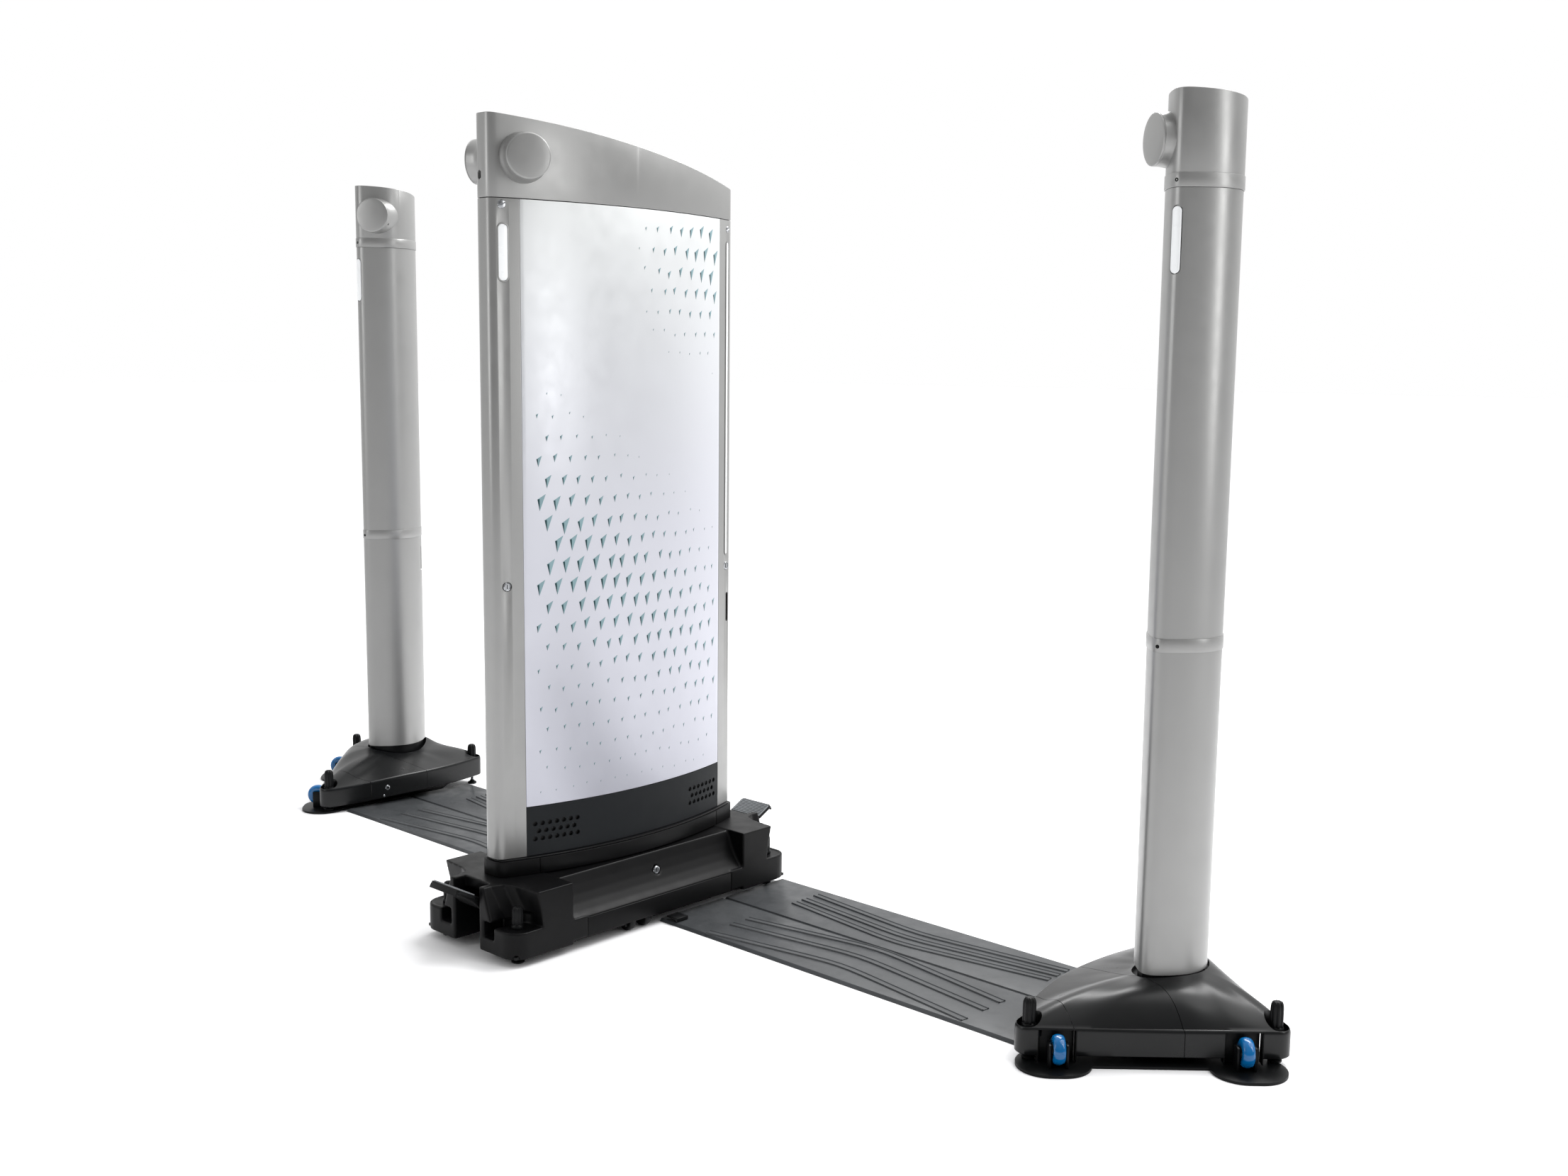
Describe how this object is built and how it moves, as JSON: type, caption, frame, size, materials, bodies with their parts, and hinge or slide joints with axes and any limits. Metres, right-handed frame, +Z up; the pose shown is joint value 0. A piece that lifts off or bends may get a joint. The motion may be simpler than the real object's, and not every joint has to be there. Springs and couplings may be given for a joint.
{
  "type": "two-lane walk-through security gate",
  "caption": "Free-standing walk-through screening gate: a tall centre tower with cameras, two slim side pylons on domed bases, and floor mats across both lanes.",
  "frame": {"origin": "on the floor, under the middle of the centre tower", "axes": "+X across the lanes towards the right pylon, +Y the way people walk through, +Z up"},
  "size_m": [3.6264, 1.1168, 2.0409],
  "materials": {
    "silver_paint": "satin metallic",
    "panel_white": "satin, with a scatter of small wedges",
    "charcoal": "matte",
    "moulded_black": "fine moulded texture",
    "gloss_black": "semi-gloss",
    "black_steel": "powder coat",
    "black_grip": "matte",
    "wheel_blue": "glossy polyurethane",
    "mat_rubber": "dull",
    "bright_metal": "polished",
    "light_window": "diffusing",
    "grey_tread": "ribbed"
  },
  "bodies": {
    "gate_frame": {"tower_chassis": "black_steel", "tower_plinth": "moulded_black", "base_cover": "moulded_black", "base_skirt_right": "moulded_black", "base_skirt_left": "moulded_black", "trim_front": "silver_paint", "trim_rear": "silver_paint", "tower_head": "silver_paint", "tower_camera_right": "silver_paint", "tower_camera_left": "silver_paint", "panel_right": "panel_white", "panel_left": "panel_white", "kick_panel_right": "charcoal", "kick_panel_left": "charcoal", "front_light_right": "light_window", "front_light_left": "light_window", "rear_light_right": "light_window", "rear_light_left": "light_window", "mat_right": "mat_rubber", "mat_left": "mat_rubber", "pylon_right_plate": "black_steel", "pylon_right_cover_nose": "gloss_black", "pylon_right_cover_middle": "gloss_black", "pylon_right_cover_rear": "gloss_black", "pylon_right_column_lower": "silver_paint", "pylon_right_column_upper": "silver_paint", "pylon_right_head": "silver_paint", "pylon_right_camera": "silver_paint", "pylon_right_light": "light_window", "pylon_left_plate": "black_steel", "pylon_left_cover_nose": "gloss_black", "pylon_left_cover_middle": "gloss_black", "pylon_left_cover_rear": "gloss_black", "pylon_left_column_lower": "silver_paint", "pylon_left_column_upper": "silver_paint", "pylon_left_head": "silver_paint", "pylon_left_camera": "silver_paint", "pylon_left_light": "light_window"},
    "lock_front_body": {"lock_front": "bright_metal"},
    "lock_rear_body": {"lock_rear": "bright_metal"},
    "lock_base_body": {"lock_base": "bright_metal"},
    "roller_pair_right_body": {"roller_pair_right": "black_grip"},
    "roller_pair_left_body": {"roller_pair_left": "black_grip"},
    "base_foot_front_right_body": {"base_foot_front_right": "black_grip"},
    "base_foot_front_left_body": {"base_foot_front_left": "black_grip"},
    "base_foot_rear_right_body": {"base_foot_rear_right": "black_grip"},
    "base_foot_rear_left_body": {"base_foot_rear_left": "black_grip"},
    "pedal_front_body": {"pedal_front": "grey_tread"},
    "pedal_rear_body": {"pedal_rear": "grey_tread"},
    "pylon_right_foot_nose_body": {"pylon_right_foot_nose": "black_grip"},
    "pylon_right_foot_outer_body": {"pylon_right_foot_outer": "black_grip"},
    "pylon_right_foot_rear_body": {"pylon_right_foot_rear": "black_grip"},
    "pylon_right_wheel_nose_body": {"pylon_right_wheel_nose": "wheel_blue"},
    "pylon_right_wheel_outer_body": {"pylon_right_wheel_outer": "wheel_blue"},
    "pylon_left_foot_nose_body": {"pylon_left_foot_nose": "black_grip"},
    "pylon_left_foot_outer_body": {"pylon_left_foot_outer": "black_grip"},
    "pylon_left_foot_rear_body": {"pylon_left_foot_rear": "black_grip"},
    "pylon_left_wheel_nose_body": {"pylon_left_wheel_nose": "wheel_blue"},
    "pylon_left_wheel_outer_body": {"pylon_left_wheel_outer": "wheel_blue"}
  },
  "joints": [
    {"name": "lock_front_turn", "type": "hinge", "parent": "gate_frame", "child": "lock_front_body", "pos_m": [0.03259, -0.377, 0.912], "axis": [1, 0, 0], "range_deg": [0, 90]},
    {"name": "lock_rear_turn", "type": "hinge", "parent": "gate_frame", "child": "lock_rear_body", "pos_m": [0.03259, 0.377, 0.902], "axis": [1, 0, 0], "range_deg": [0, 90]},
    {"name": "lock_base_turn", "type": "hinge", "parent": "gate_frame", "child": "lock_base_body", "pos_m": [0.124, 0.016, 0.132], "axis": [1, 0, 0], "range_deg": [0, 90]},
    {"name": "pedal_front_turn", "type": "hinge", "parent": "gate_frame", "child": "pedal_front_body", "pos_m": [0, -0.43, 0.112], "axis": [1, 0, 0], "range_deg": [0, 12], "stiffness_Nm_per_rad": 4, "springref_deg": -34.38},
    {"name": "pedal_rear_turn", "type": "hinge", "parent": "gate_frame", "child": "pedal_rear_body", "pos_m": [0, 0.43, 0.112], "axis": [-1, 0, 0], "range_deg": [0, 12], "stiffness_Nm_per_rad": 4, "springref_deg": -34.38},
    {"name": "base_foot_front_right_turn", "type": "hinge", "parent": "gate_frame", "child": "base_foot_front_right_body", "pos_m": [0.142, -0.438, 0], "axis": [0, 0, 1], "continuous": true},
    {"name": "base_foot_front_left_turn", "type": "hinge", "parent": "gate_frame", "child": "base_foot_front_left_body", "pos_m": [-0.142, -0.438, 0], "axis": [0, 0, 1], "continuous": true},
    {"name": "base_foot_rear_right_turn", "type": "hinge", "parent": "gate_frame", "child": "base_foot_rear_right_body", "pos_m": [0.142, 0.438, 0], "axis": [0, 0, 1], "continuous": true},
    {"name": "base_foot_rear_left_turn", "type": "hinge", "parent": "gate_frame", "child": "base_foot_rear_left_body", "pos_m": [-0.142, 0.438, 0], "axis": [0, 0, 1], "continuous": true},
    {"name": "roller_pair_right_turn", "type": "hinge", "parent": "gate_frame", "child": "roller_pair_right_body", "pos_m": [0.158, -0.0695, 0.025], "axis": [0, 1, 0], "continuous": true},
    {"name": "roller_pair_left_turn", "type": "hinge", "parent": "gate_frame", "child": "roller_pair_left_body", "pos_m": [-0.158, -0.0695, 0.025], "axis": [0, 1, 0], "continuous": true},
    {"name": "pylon_right_foot_nose_turn", "type": "hinge", "parent": "gate_frame", "child": "pylon_right_foot_nose_body", "pos_m": [1.368, -0.034, 0], "axis": [0, 0, 1], "continuous": true},
    {"name": "pylon_right_foot_outer_turn", "type": "hinge", "parent": "gate_frame", "child": "pylon_right_foot_outer_body", "pos_m": [1.755, 0.316, 0], "axis": [0, 0, 1], "continuous": true},
    {"name": "pylon_right_foot_rear_turn", "type": "hinge", "parent": "gate_frame", "child": "pylon_right_foot_rear_body", "pos_m": [1.345, 0.514, 0], "axis": [0, 0, 1], "continuous": true},
    {"name": "pylon_right_wheel_nose_turn", "type": "hinge", "parent": "gate_frame", "child": "pylon_right_wheel_nose_body", "pos_m": [1.44173, -0.03204, 0.044], "axis": [0.7417, 0.6708, 0], "continuous": true},
    {"name": "pylon_right_wheel_outer_turn", "type": "hinge", "parent": "gate_frame", "child": "pylon_right_wheel_outer_body", "pos_m": [1.73231, 0.23076, 0.044], "axis": [0.7417, 0.6708, 0], "continuous": true},
    {"name": "pylon_left_foot_nose_turn", "type": "hinge", "parent": "gate_frame", "child": "pylon_left_foot_nose_body", "pos_m": [-1.368, -0.034, 0], "axis": [0, 0, 1], "continuous": true},
    {"name": "pylon_left_foot_outer_turn", "type": "hinge", "parent": "gate_frame", "child": "pylon_left_foot_outer_body", "pos_m": [-1.755, 0.316, 0], "axis": [0, 0, 1], "continuous": true},
    {"name": "pylon_left_foot_rear_turn", "type": "hinge", "parent": "gate_frame", "child": "pylon_left_foot_rear_body", "pos_m": [-1.345, 0.514, 0], "axis": [0, 0, 1], "continuous": true},
    {"name": "pylon_left_wheel_nose_turn", "type": "hinge", "parent": "gate_frame", "child": "pylon_left_wheel_nose_body", "pos_m": [-1.44173, -0.03204, 0.044], "axis": [-0.7417, 0.6708, 0], "continuous": true},
    {"name": "pylon_left_wheel_outer_turn", "type": "hinge", "parent": "gate_frame", "child": "pylon_left_wheel_outer_body", "pos_m": [-1.73231, 0.23076, 0.044], "axis": [-0.7417, 0.6708, 0], "continuous": true}
  ]
}
